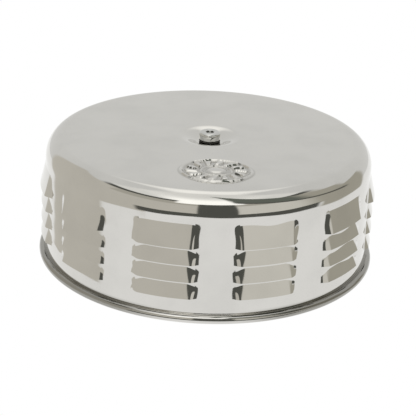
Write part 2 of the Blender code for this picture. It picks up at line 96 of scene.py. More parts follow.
def rounded(corners, radius, steps=4, closed=True):
    """The corner points of a path, each replaced by a short curve.

    The curve runs from A to B, the points that far before and after the corner C, as
    (1 - t)^2 A + 2 t (1 - t) C + t^2 B. It takes at most 0.45 of either side.
    """
    corners = np.asarray(corners, float)
    before = np.roll(corners, 1, axis=0) - corners
    after = np.roll(corners, -1, axis=0) - corners
    long_before = np.linalg.norm(before, axis=1, keepdims=True)
    long_after = np.linalg.norm(after, axis=1, keepdims=True)
    cut = np.minimum(radius, 0.45 * np.minimum(long_before, long_after))
    start = corners + before / long_before * cut
    end = corners + after / long_after * cut
    t = np.linspace(0.0, 1.0, steps + 1)[None, :, None]
    curve = (1 - t) ** 2 * start[:, None] + 2 * t * (1 - t) * corners[:, None] + t**2 * end[:, None]
    if closed:
        return curve.reshape(-1, 2)
    return np.vstack([corners[:1], curve[1:-1].reshape(-1, 2), corners[-1:]])


def arc(centre, radius, start, end, steps):
    """Points at even turns from start to end degrees round a centre."""
    turn = np.radians(np.linspace(start, end, steps + 1))
    return np.column_stack([centre[0] + radius * np.cos(turn), centre[1] + radius * np.sin(turn)])


def around(radius, height, turn):
    """Points at (radius sin turn, -radius cos turn, height), so that turn 0 faces the front."""
    radius, height, turn = np.broadcast_arrays(radius, height, turn)
    return np.stack([radius * np.sin(turn), -radius * np.cos(turn), height], axis=-1)


def hexagon(across_flats, turn):
    """The radius of a hexagon in direction turn: half its width over the cosine from its flat."""
    return across_flats / 2 / np.cos((turn + pi / 6) % (pi / 3) - pi / 6)


def even_turns(columns):
    return np.arange(columns) * tau / columns


def lathed(rows, turn, spot=(0.0, 0.0), closed=True):
    """Rows of (radius, height) carried round the upright axis at spot.

    A radius may be one for each turn. Closed rows make a ring, and open ones start and end
    on the axis.
    """
    radii, heights = zip(*rows)
    radius = np.vstack([r + 0 * turn for r in radii])
    points = around(radius, np.array(heights)[:, None], turn) + np.array([*spot, 0.0])
    faces = grid_faces(len(rows), turn.size, wrap_rows=closed, wrap_columns=True)
    return points.reshape(-1, 3), faces


def turned(profile, columns, spot=(0.0, 0.0), closed=True):
    """A profile of (radius, height) carried round in equal steps."""
    return lathed(profile, even_turns(columns)[None, :], spot, closed)


def capped_faces(steps, count):
    """Quads along a tube whose section has so many points, and a face over either end."""
    last = (steps - 1) * count
    ends = [list(range(count)), list(range(last + count - 1, last - 1, -1))]
    return grid_faces(steps, count, wrap_columns=True).tolist() + ends


# ---------------------------------------------------------------- pieces


def cleaned(mesh):
    """Merges doubled points, drops faces without area and turns the rest outwards."""
    shape = bmesh.new()
    shape.from_mesh(mesh)
    bmesh.ops.remove_doubles(shape, verts=shape.verts, dist=1e-6)
    bmesh.ops.dissolve_degenerate(shape, edges=shape.edges, dist=1e-7)
    bmesh.ops.recalc_face_normals(shape, faces=shape.faces)
    shape.to_mesh(mesh)
    shape.free()


def new_object(name, mesh):
    piece = bpy.data.objects.new(name, mesh)
    bpy.context.scene.collection.objects.link(piece)
    return piece


def built(name, mesh_name, points, faces, shade=None):
    """A new object with a cleaned mesh from points in millimetres and corner numbers.

    shade is an attribute of painted shade and painted dark reflections, which darkens the metal where it is
    1.
    """
    mesh = bpy.data.meshes.new(mesh_name)
    mesh.from_pydata((points.reshape(-1, 3) * MM).tolist(), [], [list(face) for face in faces])
    if shade is not None:
        attribute = mesh.attributes.new("shade", "FLOAT", "POINT")
        attribute.data.foreach_set("value", shade.ravel().astype(np.float32))
    cleaned(mesh)
    return new_object(name, mesh)


def settled(piece):
    """Makes the modifiers' result the piece's own mesh."""
    graph = bpy.context.evaluated_depsgraph_get()
    mesh = bpy.data.meshes.new_from_object(piece.evaluated_get(graph))
    piece.modifiers.clear()
    piece.data = mesh


def thicken(piece, thickness, offset=-1.0):
    """Gives a sheet its thickness, by default inwards from the drawn side."""
    wall = piece.modifiers.new("Sheet", "SOLIDIFY")
    wall.thickness = thickness * MM
    wall.offset = offset
    settled(piece)


def drill(piece, spots, radius, bottom, top, steps=40):
    """Cuts round holes with upright cylinders, one after another."""
    profile = [(0.0, top), (radius, top), (radius, bottom), (0.0, bottom)]
    for spot in spots:
        cutter = built("drill", "drill", *turned(profile, steps, spot, closed=False))
        cut = piece.modifiers.new("Hole", "BOOLEAN")
        cut.operation = "DIFFERENCE"
        cut.solver = "EXACT"
        cut.object = cutter
        settled(piece)
        bpy.data.objects.remove(cutter, do_unlink=True)


def finished(piece, body, slot, material, *nodes, angle=35.0):
    """Shades the piece, gives it its material and hands it to the frame."""
    piece.data.materials.clear()
    piece.data.materials.append(material)
    piece.data.shade_smooth()
    piece.data.set_sharp_from_angle(angle=radians(angle))
    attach(piece, body)
    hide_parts(*nodes)


# ---------------------------------------------------------------- finishes


class Socket:
    """An output of a node tree. Arithmetic on it adds the Math nodes that work it out."""

    def __init__(self, board, socket):
        self.board = board
        self.socket = socket

    def worked(self, operation, *values):
        inputs = dict(enumerate(values))
        return self.board.node("ShaderNodeMath", {"operation": operation}, inputs)

    def __add__(self, other):
        return self.worked("ADD", self, other)

    def __radd__(self, other):
        return self.worked("ADD", other, self)

    def __sub__(self, other):
        return self.worked("SUBTRACT", self, other)

    def __rsub__(self, other):
        return self.worked("SUBTRACT", other, self)

    def __mul__(self, other):
        return self.worked("MULTIPLY", self, other)

    def __rmul__(self, other):
        return self.worked("MULTIPLY", other, self)

    def __pow__(self, power):
        return self.worked("POWER", self, power)

    def sine(self):
        return self.worked("SINE", self)

    def angle_from(self, other):
        """The angle whose tangent is self over other."""
        return self.worked("ARCTAN2", self, other)

    def step(self, low, high):
        """0 below low and 1 above high, with level ends. low may be the larger."""
        settings = {"interpolation_type": "SMOOTHSTEP"}
        return self.board.node("ShaderNodeMapRange", settings, {0: self, 1: low, 2: high, 3: 0.0, 4: 1.0})

    def between(self, low, high, soft):
        """1 between low and high, fading to 0 over soft on either side."""
        return self.step(low - soft, low) * self.step(high + soft, high)


class Board:
    """A node tree being filled."""

    def __init__(self, tree):
        self.tree = tree
        tree.nodes.clear()

    def node(self, kind, settings=None, inputs=None, output=0):
        """Adds a node, sets its settings, fills its sockets and gives one of its outputs."""
        node = self.tree.nodes.new(kind)
        for name, value in (settings or {}).items():
            setattr(node, name, value)
        for key, value in (inputs or {}).items():
            if isinstance(value, Socket):
                self.tree.links.new(value.socket, node.inputs[key])
            else:
                node.inputs[key].default_value = value
        return Socket(self, node.outputs[output])

    def end(self, kind, result):
        """Links the result to a new output node's surface."""
        output = self.tree.nodes.new(kind)
        self.tree.links.new(result.socket, output.inputs["Surface"])

    def mixed(self, share, first, second):
        """The colour first where share is 0 and second where it is 1."""
        inputs = {0: share, 6: colour(first), 7: colour(second)}
        return self.node("ShaderNodeMix", {"data_type": "RGBA"}, inputs, output=2)

    def noise(self, place, scale, detail=3.0, roughness=0.5, distortion=0.0):
        inputs = {
            "Vector": place, "Scale": scale, "Detail": detail,
            "Roughness": roughness, "Distortion": distortion,
        }
        return self.node("ShaderNodeTexNoise", None, inputs)

    def stretched(self, place, x, y, z):
        """The place with each axis multiplied, so that a pattern is drawn out along the small ones."""
        return self.node("ShaderNodeMapping", None, {"Vector": place, "Scale": (x, y, z)})

    def parts_of(self, vector):
        node = self.tree.nodes.new("ShaderNodeSeparateXYZ")
        self.tree.links.new(vector.socket, node.inputs[0])
        return [Socket(self, output) for output in node.outputs]

    def bump(self, height, depth, strength=1.0, under=None):
        """The normal of a relief whose height of 1 stands depth metres up."""
        inputs = {"Strength": strength, "Distance": depth, "Height": height}
        if under is not None:
            inputs["Normal"] = under
        return self.node("ShaderNodeBump", None, inputs)


def colour(value):
    if isinstance(value, Socket):
        return value
    return (*value, 1.0) if len(value) == 3 else tuple(value)


def dulled(tint, share):
    return tuple(share * c for c in tint)


# The dark metal that the shade attribute mixes in: painted shade in the rosette's hollows and painted dark
# reflections on the rim's sides.
PAINTED_DARK_METAL = (0.125, 0.12, 0.10)


class Finish(Board):
    """A material's board, with the place on the piece in object coordinates."""

    def __init__(self, name):
        self.material = bpy.data.materials.new(name + "_finish")
        self.material.use_nodes = True
        super().__init__(self.material.node_tree)
        self.place = self.node("ShaderNodeTexCoord", None, None, output="Object")

    def done(self, **inputs):
        """Ends the board in a Principled surface with these inputs."""
        named = {name.replace("_", " "): value for name, value in inputs.items()}
        if "Base Color" in named:
            named["Base Color"] = colour(named["Base Color"])
        surface = self.node("ShaderNodeBsdfPrincipled", None, named)
        self.end("ShaderNodeOutputMaterial", surface)
        return self.material


def polished_steel(name, tint):
    """Mirror-bright sheet with faint rubbing marks, darkened by painted shade and painted dark reflections
    where the shade attribute says.
    """
    f = Finish(name)
    cloud = f.noise(f.place, 60.0, 3.0, 0.55)
    marks = f.noise(f.stretched(f.place, 900.0, 60.0, 200.0), 1.0, 2.0, 0.6)
    specks = f.noise(f.place, 2600.0, 2.0).step(0.66, 0.74)
    painted_shade = f.node("ShaderNodeAttribute", {"attribute_name": "shade"}, None, output="Fac")
    darker = dulled(tint, 0.94)
    metal = f.mixed(cloud.step(0.35, 0.75), tint, darker)
    metal = f.mixed(specks * 0.25, metal, dulled(tint, 0.75))
    # Painted shade and painted dark reflections: darker metal where the shade attribute is 1.
    metal = f.mixed(painted_shade, metal, PAINTED_DARK_METAL)
    rough = 0.045 + 0.05 * cloud.step(0.4, 0.8) + 0.04 * marks.step(0.5, 0.8) + 0.1 * painted_shade
    normal = f.bump(marks, 0.000002, 0.5)
    return f.done(Base_Color=metal, Metallic=1.0, Roughness=rough, Normal=normal)


def plated_steel(name, tint, rough=0.3):
    """Satin plating: cloudy patches, fine crystals and small darker stains."""
    f = Finish(name)
    cloud = f.noise(f.place, 90.0, 4.0, 0.6)
    grain = f.noise(f.place, 2000.0, 2.0, 0.5)
    stain = f.noise(f.place, 240.0, 3.0, 0.65, 0.6).step(0.6, 0.72)
    metal = f.mixed(cloud.step(0.3, 0.7), tint, dulled(tint, 0.8))
    metal = f.mixed(stain * 0.45, metal, dulled(tint, 0.45))
    level = rough + 0.14 * cloud.step(0.3, 0.8) + 0.12 * stain + 0.06 * grain
    normal = f.bump(grain, 0.00001, 0.35)
    return f.done(Base_Color=metal, Metallic=1.0, Roughness=level, Normal=normal)


def lathe_steel(name, tint, rough=0.26):
    """Sheet with fine lines round the axis: a sine of the distance from it, broken by noise."""
    f = Finish(name)
    x, y, z = f.parts_of(f.place)
    reach = (x * x + y * y) ** 0.5
    wander = f.noise(f.place, 35.0, 2.0)
    lines = 5200.0
    ridges = (reach * lines + z * (0.7 * lines) + wander * 9.0).sine() * 0.5 + 0.5
    cloud = f.noise(f.place, 70.0, 4.0, 0.6)
    metal = f.mixed(cloud.step(0.3, 0.75), tint, dulled(tint, 0.83))
    metal = f.mixed(ridges * 0.14, metal, dulled(tint, 0.6))
    level = rough + 0.12 * cloud.step(0.35, 0.8) + 0.06 * ridges
    normal = f.bump(ridges, 0.000008, 0.5)
    return f.done(Base_Color=metal, Metallic=1.0, Roughness=level, Normal=normal)


def matt_rubber(name, tint):
    """Black rubber with a fine moulded grain and a greyish bloom in patches."""
    f = Finish(name)
    grain = f.noise(f.place, 2400.0, 3.0, 0.6)
    bloom = f.noise(f.place, 110.0, 4.0, 0.6).step(0.45, 0.75)
    shade = f.mixed(bloom * 0.6, tint, tuple(2.6 * c + 0.01 for c in tint))
    level = 0.56 + 0.2 * bloom + 0.08 * grain
    return f.done(Base_Color=shade, Roughness=level, Normal=f.bump(grain, 0.00004, 0.5))


def pressed_fibre(name, tint):
    """Compressed fibre: flecks of light and dark fibres over a cloudy ground."""
    f = Finish(name)
    fleck = f.noise(f.stretched(f.place, 1.0, 3.0, 1.0), 700.0, 4.0, 0.7, 1.5)
    ground = f.noise(f.place, 130.0, 3.0)
    shade = f.mixed(ground.step(0.3, 0.7), tint, dulled(tint, 0.72))
    shade = f.mixed(fleck.step(0.56, 0.68), shade, tuple(min(1.0, 1.7 * c) for c in tint))
    level = 0.72 + 0.15 * fleck
    return f.done(Base_Color=shade, Roughness=level, Normal=f.bump(fleck, 0.00005, 0.6))


def filter_paper(name, tint):
    """Resin-treated paper: drawn-out fibres, a cloudy soak and small embossed dimples."""
    f = Finish(name)
    fibre = f.noise(f.stretched(f.place, 1.0, 1.0, 0.35), 1500.0, 4.0, 0.7, 0.8)
    soak = f.noise(f.place, 160.0, 3.0, 0.6)
    cells = f.node("ShaderNodeTexVoronoi", None, {"Vector": f.place, "Scale": 620.0})
    shade = f.mixed(soak.step(0.3, 0.75), tint, dulled(tint, 0.78))
    shade = f.mixed(fibre.step(0.55, 0.75) * 0.5, shade, tuple(min(1.0, 1.25 * c) for c in tint))
    normal = f.bump(cells, 0.00008, 0.5, f.bump(fibre, 0.00005, 0.5))
    return f.done(Base_Color=shade, Roughness=0.82 + 0.1 * fibre, Normal=normal)


# ---------------------------------------------------------------- cover


def wall_radius(height):
    """The cover wall's outer radius: a straight taper from its foot to the lid corner."""
    share = (height - WALL_FOOT[1]) / (WALL_TOP[1] - WALL_FOOT[1])
    return WALL_FOOT[0] + (WALL_TOP[0] - WALL_FOOT[0]) * share


def wall_azimuths():
    """Turns round the wall, closest on the cheeks, with each one's panel and place in it."""
    rise = np.linspace(0.0, CHEEK, 15)
    flat = np.linspace(CHEEK, 2 * PANEL_HALF - CHEEK, 14)[1:-1]
    fall = 2 * PANEL_HALF - rise[::-1]
    gap = np.linspace(2 * PANEL_HALF, PANEL_STEP, 7)[1:-1]
    offsets = np.concatenate([rise, flat, fall, gap]) - PANEL_HALF
    panel = np.repeat(np.arange(PANELS), len(offsets))
    return FIRST_PANEL + panel * PANEL_STEP + np.tile(offsets, PANELS), panel, np.tile(offsets, PANELS)


def hood_folds(panel, offset, s):
    """The height of every hood's fold at each turn, in four rows.

    A fold lies hood height above its lip, and drops by a smooth rise towards both ends. The
    top hood of one panel has a dent in the middle of its fold, and the lower folds of
    another lie lower and wave.
    """
    uneven = np.random.default_rng(5)
    tall = s.hood_height + 0.25 * (uneven.random((4, PANELS)) - 0.5)
    drop = s.fold_drop * (0.7 + 0.6 * uneven.random((4, PANELS, 2)))
    tall[0] += s.top_hood_extra
    drop[0] *= 0.2
    right = (offset > 0).astype(int)
    u = np.clip(np.abs(offset) / PANEL_HALF, 0, 1)
    fold = LIPS[:, None] + tall[:, panel] - drop[:, panel, right] * smooth_rise((u - 0.58) / 0.3)
    dent = np.exp(-(((offset / PANEL_HALF - 0.1) / 0.4) ** 2))
    fold[0] -= np.where(panel == DENTED_PANEL, s.fold_dent * dent, 0.0)
    wave = 0.9 + 0.5 * np.sin(4.5 * offset / PANEL_HALF + np.arange(4)[:, None] * 1.9)
    fold[1:] -= np.where(panel == WAVY_PANEL, wave, 0.0)[1:]
    return fold


def hood_relief(v, row, panel, offset, s):
    """How far the wall is pressed out, in millimetres: a straight slope down each hood.

    The slope runs with v from 0 at the fold to 1 at the lip. Across the hood, the sheet
    rises over the cheek at either end with level ends.
    """
    uneven = np.random.default_rng(9)
    reach = s.hood_reach + 0.08 * (uneven.random((4, PANELS)) - 0.5)
    reach[0] += 0.42
    cheek = smooth_rise((PANEL_HALF - np.abs(offset)) / CHEEK)
    return reach[row, panel] * v * cheek


def cover_wall_surface(s):
    """The corner, the louvred wall and the rolled rim of the cover as one open sheet.

    Rows run from the lid's rim down to the curl of the bead. Those of a louvre are set
    between the lip above, its fold and its lip. Each lip has two rows at its height: the
    first belongs to the hood above it and the second to the wall below, and the slot lies
    between them.
    """
    turn, panel, offset = wall_azimuths()
    corner = arc((0.0, 0.0), 1.0, 90, 0, 20) * CORNER_AXES
    corner += (wall_radius(CORNER_FOOT) - CORNER_AXES[0], CORNER_FOOT)
    upper = [(wall_radius(z), z) for z in (39.7, 39.3)]
    top = np.vstack([[(SEAM_RADIUS, LID_HEIGHT)], corner, upper])
    bead = arc((65.0, 1.62), 1.58, 116, -150, 24)
    crease = [(wall_radius(4.6), 4.6), (wall_radius(3.1), 3.06), bead[1]]
    below = [(wall_radius(z), z) for z in (9.5, 8.6, 7.5, 6.4, 5.4)]
    foot = np.vstack([below, rounded(crease, 0.55, 4, closed=False), bead[2:]])
    folds = hood_folds(panel, offset, s)
    flat = np.zeros(len(turn))
    heights = [z + flat for z in top[:, 1]]
    radii = [r + flat for r in top[:, 0]]
    reliefs = [flat] * len(top)
    slots = []
    for row, lip in enumerate(LIPS):
        ceiling = LIPS[row - 1] if row else 38.9
        strip = np.linspace(0.0, 1.0, 3)[:-1, None]
        v = np.linspace(0.0, 1.0, 11)[:, None]
        block = np.vstack([ceiling + (folds[row] - ceiling) * strip, folds[row] + (lip - folds[row]) * v])
        heights += list(block)
        radii += list(wall_radius(block))
        reliefs += [flat] * len(strip) + list(hood_relief(v, row, panel, offset, s))
        slots.append(len(heights) - 1)
    heights += [z + flat for z in foot[:, 1]]
    radii += [r + flat for r in foot[:, 0]]
    reliefs += [flat] * len(foot)
    height, radius, relief = np.array(heights), np.array(radii), np.array(reliefs)
    level = smooth_rise((height - 5.0) / 4.0) * smooth_rise((WALL_TOP[1] + 1.0 - height) / 5.0)
    sway = np.sin(5 * turn + 0.4 * height) * np.sin(0.35 * height + 2.0) + 0.6 * np.sin(17 * turn)
    points = around(radius + relief + s.sway * level * sway, height, turn[None, :])
    # Painted dark reflections on the rim's sides: darker metal on the bead where the wall turns away from
    # the front.
    painted_rim_reflection = s.painted_rim_reflection * smooth_rise((np.abs(np.sin(turn)) - 0.15) / 0.35)
    shade = painted_rim_reflection * smooth_rise((4.2 - height) / 1.2)
    return points, grid_faces(len(height), len(turn), wrap_columns=True, skip=slots), shade


def emblem_relief(x, y, s):
    """A cast rosette: an oval ring round curved vanes and a small dome.

    With q the distance from its centre over the oval's radius and a the turn round it, the
    ring and the bead inside it are ridges in q, and the vanes are ridges of
    cos(14 a + 7 q) that fade out at both ends.
    """
    across, along = (x - s.emblem_x) / s.emblem_half_width, (y - s.emblem_y) / s.emblem_half_depth
    q = np.hypot(across, along)
    a = np.arctan2(along, across)
    ring = smooth_rise(1 - np.abs(q - 0.92) / 0.075)
    inner_ring = 0.7 * smooth_rise(1 - np.abs(q - 0.40) / 0.06)
    wave = np.cos(14 * a + 7 * q)
    vanes = smooth_rise(0.5 + wave * 1.4) * smooth_rise((q - 0.46) / 0.07) * smooth_rise((0.84 - q) / 0.07)
    dome = np.sqrt(np.clip(1 - (q / 0.27) ** 2, 0, 1))
    relief = s.emblem_height * np.maximum.reduce([ring, inner_ring, 0.85 * vanes, dome])
    return relief, smooth_rise((1.03 - q) / 0.05)


def cover_lid_surface(s):
    """The flat lid with its rosette, and the dish round the screw.

    In the dish the height is 48 - depth (1 - t)^1.6, with t running from 0 at the flat
    floor's edge to 1 at the rim, and the rim blends in level.
    """
    fine = np.radians(np.arange(-26.0, 26.0, 0.45))
    coarse = np.radians(np.arange(26.0, 334.0, 1.6))
    turn = np.concatenate([fine, coarse])
    radius = np.concatenate([
        [SEAM_RADIUS, 55.2, 54.0],
        np.linspace(53.0, 23.0, 72),
        [20.0, 17.0, 14.8, 13.4],
        np.linspace(12.6, 5.0, 24),
        [4.5, 3.9, 3.3, 2.95],
    ])[:, None]
    t = np.clip((radius - s.dish_floor) / (s.dish_radius - s.dish_floor), 0, 1)
    soft = np.hypot(t, 0.05) - 0.05
    height = LID_HEIGHT - s.dish_depth * (1 - soft / (np.hypot(1, 0.05) - 0.05)) ** 1.6
    points = around(radius, height, turn[None, :])
    x, y = points[..., 0], points[..., 1]
    relief, inside = emblem_relief(x, y, s)
    points[..., 2] += relief
    # Painted shade in the rosette's hollows: darker metal where its relief is low.
    shade = s.emblem_painted_shade * inside * smooth_rise(1.15 - 1.3 * relief / s.emblem_height)
    return points, grid_faces(len(radius), len(turn), wrap_columns=True), shade


# ---------------------------------------------------------------- screws and fixings


def threaded(radius, depth, pitch, height, turn):
    """A right-hand thread: the radius less a triangle wave of the height and the turn."""
    share = (height / pitch - turn / tau) % 1.0
    return radius - depth * (1 - np.abs(2 * share - 1))


def cover_screw_surface():
    """A low round head with a hexagon socket, a plain neck, a thread and a chamfered tip.

    Each row is a circle, a hexagon or a mix of the two in direction turn.
    """
    turn = even_turns(96)[None, :]
    socket = hexagon(3.0, turn)
    head = arc((3.15, 48.5), 1.1, 90, 0, 8)
    rows = [
        (0.0, 47.45), (0.7, 47.75), (socket * 0.96, 47.95), (socket, 48.05),
        (socket, 49.25), (np.maximum(socket, 1.56), 49.42), (1.86, 49.58), (2.0, 49.6),
    ]
    rows += list(head)
    rows += [(4.25, 46.95), (4.18, 46.78), (4.05, 46.7), (2.55, 46.7)]
    rows += [(2.3, 46.55), (2.3, 45.2)]
    rows += [(threaded(2.42, 0.38, 0.8, z, turn), z) for z in np.arange(45.0, 35.75, -0.1)]
    rows += [(1.95, 35.5), (1.7, 35.05), (1.5, 35.0), (0.0, 35.0)]
    return lathed(rows, turn, closed=False)


def bolt_surface(spot, across_flats, head, top, tip, radius):
    """A hexagon head with a chamfered top over a washer face, and a threaded shank.

    The head's radius is the smaller of the hexagon and the turned profile.
    """
    turn = even_turns(72)[None, :]
    flat, corner = hexagon(across_flats, turn), across_flats / 2 / cos(pi / 6)
    face = across_flats / 2 * 0.96
    rows = [(0.0, top - 0.25), (face * 0.55, top - 0.25), (face * 0.62, top - 0.05)]
    rows += [(face * 0.9, top), (face, top - 0.05)]
    rows += [(np.minimum(flat, face + (corner - face) * k), top - 0.05 - 0.6 * k) for k in (0.35, 0.7, 1.0)]
    rows += [(flat, head + 0.45), (flat * 0.985, head + 0.32)]
    rows += [(face, head + 0.3), (face, head)]
    rows += [(radius - 0.05, head), (radius - 0.25, head - 0.4)]
    shank = np.arange(head - 0.6, tip + 0.8, -0.16)
    rows += [(threaded(radius - 0.03, 0.5, 1.0, z, turn), z) for z in shank]
    rows += [(radius - 0.7, tip + 0.5), (radius - 1.0, tip + 0.05), (0.0, tip)]
    return lathed(rows, turn, spot, closed=False)


def nut_surface(across_flats, bottom, top, bore):
    """A hexagon nut chamfered at both ends, with a threaded bore."""
    turn = even_turns(72)[None, :]
    flat, corner = hexagon(across_flats, turn), across_flats / 2 / cos(pi / 6)
    face = across_flats / 2 * 0.96
    rise = [(face, 0.0), (np.minimum(flat, (face + corner) / 2), 0.28), (flat, 0.6)]
    rows = [(bore + 0.4, top), (face, top)]
    rows += [(r, top - z) for r, z in rise[1:]] + [(r, bottom + z) for r, z in rise[:0:-1]]
    rows += [(face, bottom), (bore + 0.4, bottom)]
    inner = np.arange(bottom + 0.35, top - 0.3, 0.16)
    rows += [(bore + 0.32 - threaded(0.32, 0.32, 0.8, z, turn), z) for z in inner]
    return lathed(rows, turn)


def spring_washer_surface(spot, bottom):
    """A square section carried round a short helix that stops short of a full turn."""
    turn = np.radians(np.linspace(94.0, 444.0, 72))
    rise = 0.42 * (turn - turn[0]) / (turn[-1] - turn[0])
    section = rounded([(3.4, 0.04), (5.45, 0.04), (5.45, 1.0), (3.4, 1.0)], 0.12, 2)
    radius, height = section[None, :, 0], bottom + section[None, :, 1] + rise[:, None]
    points = around(radius, height, turn[:, None]) + np.array([*spot, 0.0])
    return points.reshape(-1, 3), capped_faces(len(turn), len(section))


# ---------------------------------------------------------------- element and base


def pleat_surface(s):
    """Folded paper as an upright sheet: its radius swings between the roots and the tips.

    With p the number of the pleat, the swing is asin(0.985 cos(p turn)) over its greatest
    value, which is a zigzag with rounded folds. Each fold leans a little with the height.
    """
    count = s.pleats
    turn = even_turns(count * 20)[None, :]
    height = np.linspace(*ELEMENT_SPAN, 9)[:, None]
    uneven = np.random.default_rng(11)
    shift = np.interp(turn, even_turns(count + 1), uneven.normal(0, 0.10, count + 1))
    phase = count * turn + shift + 0.05 * np.sin(0.25 * height + 3 * turn)
    swing = np.arcsin(0.985 * np.cos(phase)) / np.arcsin(0.985)
    radius = (PLEAT_TIPS + PLEAT_ROOTS) / 2 + (PLEAT_TIPS - PLEAT_ROOTS) / 2 * swing
    points = around(radius, height, turn)
    return points.reshape(-1, 3), grid_faces(9, turn.size, wrap_columns=True)


def perforated_surface(radius, bottom, top, columns, rows, hole):
    """A tube of square cells, each with a round hole, in staggered rows.

    A cell is 16 quads between its outline and a circle: both are points at equal turns
    round the cell's middle, and the outline's reach is half the cell over the larger of
    the sine and cosine.
    """
    a = np.arange(16) * tau / 16
    reach = 0.5 / np.maximum(np.abs(np.cos(a)), np.abs(np.sin(a)))
    cell_high = (top - bottom) / rows
    cell_wide = tau * radius / columns
    outline = np.stack([np.cos(a) * reach * cell_wide, np.sin(a) * reach * cell_high], axis=-1)
    circle = np.stack([np.cos(a), np.sin(a)], axis=-1) * hole
    cell = np.stack([outline, circle])
    i, j = np.meshgrid(np.arange(rows), np.arange(columns), indexing="ij")
    along = (j + 0.5 * (i % 2)) * cell_wide
    up = bottom + (i + 0.5) * cell_high
    x = along[..., None, None] + cell[..., 0]
    z = up[..., None, None] + cell[..., 1]
    points = around(radius, z, x / radius)
    k = np.arange(16)
    quad = np.stack([k, (k + 1) % 16, 16 + (k + 1) % 16, 16 + k], axis=-1)
    start = np.arange(rows * columns)[:, None, None] * 32
    return points.reshape(-1, 3), (start + quad[None]).reshape(-1, 4)


def wires(paths, thick, sides):
    """Round wires along paths of shape (wires, steps, 3): a small circle across each step."""
    ahead = np.gradient(paths, axis=1)
    ahead /= np.linalg.norm(ahead, axis=-1, keepdims=True)
    out = paths * np.array([1.0, 1.0, 0.0])
    out /= np.linalg.norm(out, axis=-1, keepdims=True)
    side = np.cross(ahead, out)
    side /= np.linalg.norm(side, axis=-1, keepdims=True)
    out = np.cross(side, ahead)
    a = (np.arange(sides) * tau / sides)[:, None]
    points = paths[:, :, None] + thick / 2 * (np.cos(a) * out[:, :, None] + np.sin(a) * side[:, :, None])
    return points


def gauze_surface(radius, bottom, top, uprights, hoops, thick):
    """Woven wire cloth: upright wires that weave past level hoops, half a wire in and out.

    An upright's radius is r + d cos(pi h), with h the number of the hoop at its height, and
    a hoop's is r - d cos(pi n), with n the number of the upright at its turn.
    """
    h = np.arange(2 * hoops + 1) / 2
    turn = even_turns(uprights)[:, None]
    swing = thick / 2 * (-1.0) ** np.arange(uprights)[:, None]
    height = bottom + (top - bottom) * h / hoops
    upright = around(radius + swing * np.cos(pi * h), height, turn)
    first = wires(upright, thick, 4)
    n = np.arange(2 * uprights) / 2
    level = bottom + (top - bottom) * (np.arange(hoops) + 0.5)[:, None] / hoops
    weave = thick / 2 * (-1.0) ** np.arange(hoops)[:, None]
    hoop_turn = n * tau / uprights
    hoop = around(radius + weave * np.sin(pi * n), level, hoop_turn)
    closed = np.concatenate([hoop[:, -1:], hoop, hoop[:, :1]], axis=1)
    second = wires(closed, thick, 4)[:, 1:-1]
    faces, start = [], 0
    for block, wrap in ((first, False), (second, True)):
        count, steps, sides = block.shape[:3]
        one = grid_faces(steps, sides, wrap_rows=wrap, wrap_columns=True)
        offset = start + np.arange(count)[:, None, None] * steps * sides
        faces += (one[None] + offset).reshape(-1, 4).tolist()
        if not wrap:
            ring = np.arange(sides)
            last = (steps - 1) * sides
            bases = start + np.arange(count)[:, None] * steps * sides
            faces += (bases + ring[None]).tolist() + (bases + last + ring[::-1][None]).tolist()
        start += count * steps * sides
    points = np.concatenate([first.reshape(-1, 3), second.reshape(-1, 3)])
    return points, faces


def gasket_outline(turn):
    """The gasket's reach from the axis in direction turn: a disc with a lobe at each bolt.

    A lobe's own reach is 29 c + sqrt(8.5^2 - (29 s)^2), c and s being the cosine and sine
    of the turn from its bolt. The flank between is the line that touches both circles.
    """
    away = np.abs((turn + pi / 2) % pi - pi / 2)
    s, c = np.sin(away), np.cos(away)
    lobe = 29.0 * c + np.sqrt(np.clip(8.5**2 - (29.0 * s) ** 2, 0, None))
    lobe = np.where(29.0 * s < 8.5, lobe, 0.0)
    lean = np.arccos((28.0 - 8.5) / 29.0)
    flank = 28.0 / np.maximum(np.cos(lean - away), 0.2)
    on_flank = (away < lean) & (away > np.arctan2(8.5 * np.sin(lean), 29.0 + 8.5 * np.cos(lean)))
    return np.where(on_flank, flank, np.maximum(lobe, np.where(away >= lean, 28.0, 0.0)))


def gasket_surface():
    """A flat ring between a round hole and the outline, with slightly rounded edges."""
    turn = even_turns(180)[None, :]
    outer = gasket_outline(turn)
    rows = [(23.15, 6.65), (outer - 0.15, 6.65), (outer, 6.5), (outer, 5.9), (outer - 0.15, 5.75)]
    rows += [(23.15, 5.75), (23.0, 5.9), (23.0, 6.5)]
    return lathed(rows, turn)


def bracket_surface():
    """A strap of rounded rectangular section along its bent path over the inlet.

    A point is the path's own plus the section's sideways and upward parts times the side
    and up vectors of that step.
    """
    half = [(34.5, 8.35), (27.0, 8.35), (11.0, 43.0)]
    corners = np.array(half + [(-x, z) for x, z in reversed(half)])
    line = rounded(corners, 4.5, 10, closed=False)
    steps = np.concatenate([[0.0], np.cumsum(np.linalg.norm(np.diff(line, axis=0), axis=1))])
    even = np.linspace(0.0, steps[-1], 150)
    line = np.column_stack([np.interp(even, steps, line[:, 0]), np.interp(even, steps, line[:, 1])])
    ahead = np.gradient(line, axis=0)
    ahead /= np.linalg.norm(ahead, axis=1, keepdims=True)
    up = np.column_stack([ahead[:, 1], 0 * even, -ahead[:, 0]])
    side = np.tile([0.0, 1.0, 0.0], (len(even), 1))
    taper = 1.0 - 0.06 * (np.abs(np.linspace(-1, 1, len(even))) > 0.985)
    path = np.column_stack([line[:, 0], 0 * even, line[:, 1]])
    section = rounded([(-6.9, 0.0), (6.9, 0.0), (6.9, 1.55), (-6.9, 1.55)], 0.3, 3)
    side = (side * taper[:, None])[:, None]
    points = path[:, None] + section[None, :, :1] * side + section[None, :, 1:] * up[:, None]
    return points.reshape(-1, 3), capped_faces(len(path), len(section))


# ---------------------------------------------------------------- settings


def number(name, description, default, **more):
    return FloatProperty(name=name, description=description, default=default, **more)


